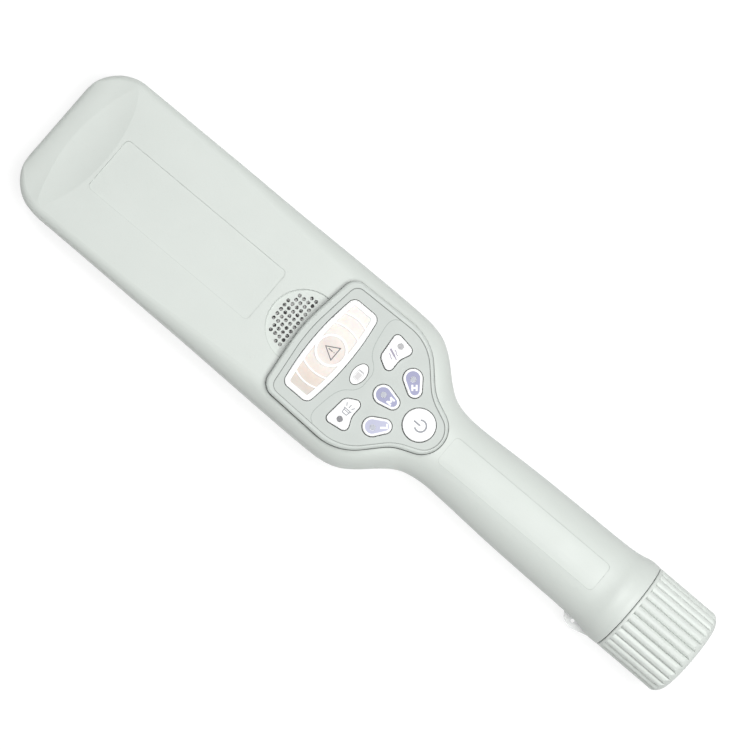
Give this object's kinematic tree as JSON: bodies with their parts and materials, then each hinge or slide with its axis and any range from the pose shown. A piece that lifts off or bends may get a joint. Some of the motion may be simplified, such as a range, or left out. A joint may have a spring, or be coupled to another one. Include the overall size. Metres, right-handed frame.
{
  "type": "hand-held scanner wand",
  "caption": "Hand-held scanner wand: flat paddle with sound grille, light bar and keypad, round grip, strap eyelet and fluted screw cap over the cells.",
  "frame": {"origin": "centre of the bounding box's bottom face: on the surface that the wand lies on, keypad up", "axes": "+X to the paddle's tip, +Z out of the keypad, +Y to the strap eyelet's side"},
  "size_m": [0.41, 0.0874, 0.0492],
  "materials": {
    "shell": "moulded, fine spark texture",
    "cap": "moulded, fine texture",
    "bezel": "smooth satin",
    "plate": "fine matt film",
    "white_key": "smooth satin white",
    "bar_window": "translucent, tinted",
    "warning_window": "translucent, tinted",
    "battery_window": "translucent white",
    "guide": "white",
    "lamp_pale": "smoked grey, translucent",
    "lamp_dark": "smoked grey, translucent",
    "lamp_blue": "smoked blue-grey, translucent",
    "screen": "fine woven mesh",
    "inlay": "printed film",
    "inlay_pale": "printed film",
    "board": "soldermask",
    "component": "moulded",
    "led": "clear moulded",
    "screw_steel": "zinc plated",
    "speaker_metal": "black plated",
    "magnet": "nickel plated",
    "cone": "paper-like film",
    "former": "moulded",
    "copper": "enamelled copper winding",
    "wire": "insulated wire",
    "motor_metal": "rolled can",
    "weight_metal": "sintered",
    "tube": "moulded",
    "spring_steel": "nickel plated",
    "cell": "plain wrapped can",
    "gasket": "silicone",
    "eyelet": "smooth, part clear"
  },
  "bodies": {
    "case": {"bar_windows": "bar_window", "battery_leads": "wire", "battery_tube": "tube", "battery_window": "battery_window", "board_components": "component", "board_screws": "screw_steel", "cap_seal": "gasket", "case_gasket": "gasket", "case_screws": "screw_steel", "cell_left": "cell", "cell_right": "cell", "coil_former": "former", "coil_leads": "wire", "contact_board": "board", "contact_springs": "spring_steel", "display_frame": "white_key", "display_leds": "led", "dust_screen": "screen", "keypad_bezel": "bezel", "keypad_plate": "plate", "light_guide": "guide", "lower_shell": "shell", "main_board": "board", "motor_bracket": "former", "motor_leads": "wire", "receive_coil": "copper", "speaker_cone": "cone", "speaker_frame": "speaker_metal", "speaker_leads": "wire", "speaker_magnet": "magnet", "strap_eyelet": "eyelet", "tact_switches": "component", "transmit_coil": "copper", "upper_shell": "shell", "vibration_motor": "motor_metal", "warning_window": "warning_window"},
    "key_vibrate_cap": {"key_vibrate": "white_key", "lens_vibrate": "lamp_pale"},
    "key_alarm_cap": {"key_alarm": "white_key", "lens_alarm": "lamp_dark"},
    "key_high_cap": {"key_high": "white_key", "lens_high": "lamp_blue", "inlay_high": "inlay"},
    "key_medium_cap": {"key_medium": "white_key", "lens_medium": "lamp_blue", "inlay_medium": "inlay"},
    "key_low_cap": {"key_low": "white_key", "lens_low": "lamp_blue", "inlay_low": "inlay_pale"},
    "key_power_cap": {"key_power": "white_key"},
    "motor_weight": {"vibration_weight": "weight_metal"},
    "cap_carrier_body": {"cap_carrier": "tube", "cap_contact": "spring_steel"},
    "screw_cap": {"end_cap": "cap"}
  },
  "joints": [
    {"name": "press_vibrate", "type": "slide", "parent": "case", "child": "key_vibrate_cap", "axis": [0, 0, -1], "range_m": [0, 0.0008], "stiffness_N_per_m": 600},
    {"name": "press_alarm", "type": "slide", "parent": "case", "child": "key_alarm_cap", "axis": [0, 0, -1], "range_m": [0, 0.0008], "stiffness_N_per_m": 600},
    {"name": "press_high", "type": "slide", "parent": "case", "child": "key_high_cap", "axis": [0, 0, -1], "range_m": [0, 0.0008], "stiffness_N_per_m": 600},
    {"name": "press_medium", "type": "slide", "parent": "case", "child": "key_medium_cap", "axis": [0, 0, -1], "range_m": [0, 0.0008], "stiffness_N_per_m": 600},
    {"name": "press_low", "type": "slide", "parent": "case", "child": "key_low_cap", "axis": [0, 0, -1], "range_m": [0, 0.0008], "stiffness_N_per_m": 600},
    {"name": "press_power", "type": "slide", "parent": "case", "child": "key_power_cap", "axis": [0, 0, -1], "range_m": [0, 0.0008], "stiffness_N_per_m": 600},
    {"name": "motor_spin", "type": "hinge", "parent": "case", "child": "motor_weight", "pos_m": [-0.08, 0, 0.022], "axis": [1, 0, 0], "continuous": true},
    {"name": "cap_travel", "type": "slide", "parent": "case", "child": "cap_carrier_body", "axis": [-1, 0, 0], "range_m": [0, 0.012]},
    {"name": "cap_turn", "type": "hinge", "parent": "cap_carrier_body", "child": "screw_cap", "pos_m": [-0.185, 0, 0.0245], "axis": [-1, 0, 0], "range_deg": [0, 1080]}
  ],
  "couplings": [
    {"joint": "cap_travel", "follows": "cap_turn", "m_per_rad": 0.00063662}
  ]
}
